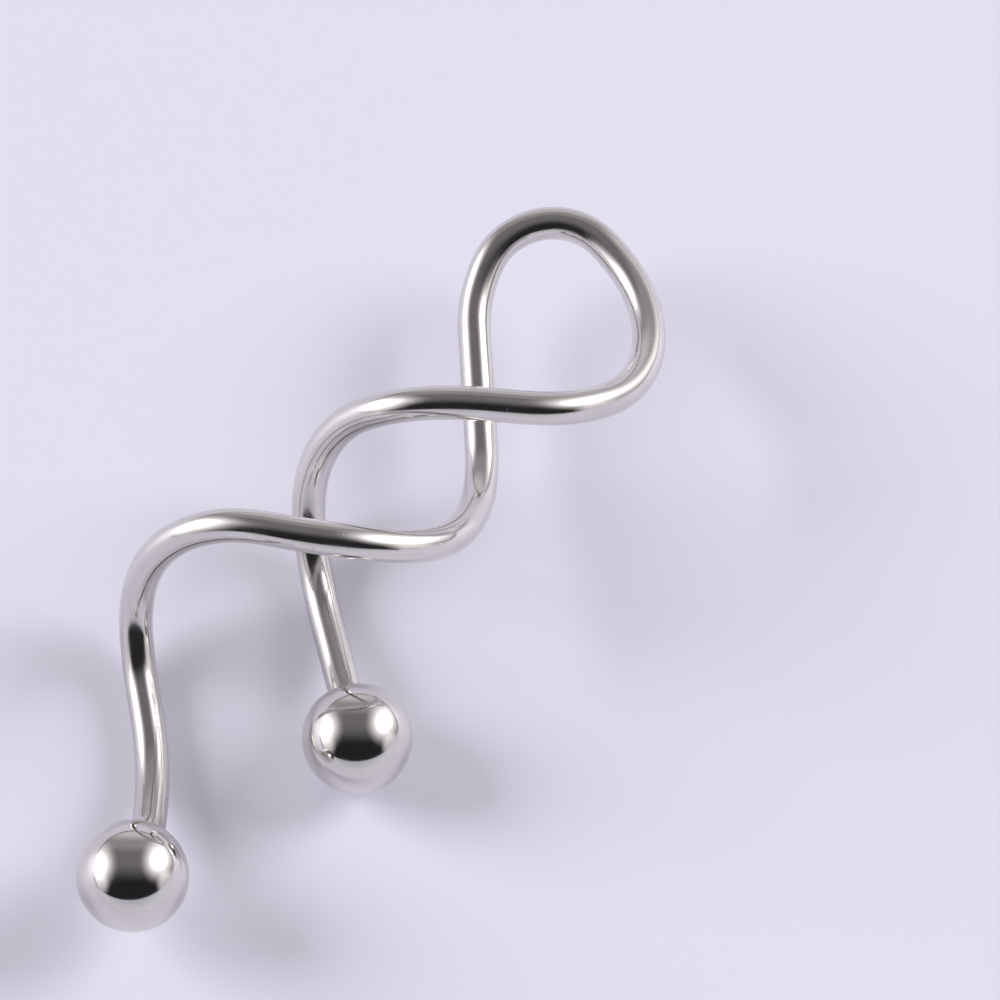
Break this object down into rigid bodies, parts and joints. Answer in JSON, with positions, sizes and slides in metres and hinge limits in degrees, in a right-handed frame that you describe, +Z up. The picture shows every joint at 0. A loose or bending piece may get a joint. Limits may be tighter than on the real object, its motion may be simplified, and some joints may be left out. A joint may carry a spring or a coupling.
{
  "type": "industrial barbell",
  "caption": "One polished steel wire folded double and twisted round itself, with a closed loop at one end and a screwed-on ball on each free end.",
  "frame": {"origin": "middle of the box round the barbell, on the plane it rests on", "axes": "+Z up, +Y from the ball ends towards the closed loop, +X to the right of it"},
  "size_m": [0.0198, 0.0413, 0.0115],
  "materials": {
    "wire": "mirror-polished surgical steel",
    "balls": "mirror-polished surgical steel"
  },
  "bodies": {
    "wire": {"bar": "wire"},
    "near_ball": {"near_ball": "balls"},
    "far_ball": {"far_ball": "balls"}
  },
  "joints": [
    {"name": "near_ball_unscrews", "type": "slide", "parent": "wire", "child": "near_ball", "axis": [0.0585, -0.8482, 0.5265], "range_m": [0, 0.004]},
    {"name": "far_ball_unscrews", "type": "slide", "parent": "wire", "child": "far_ball", "axis": [0.52, -0.8187, 0.2434], "range_m": [0, 0.004]}
  ]
}
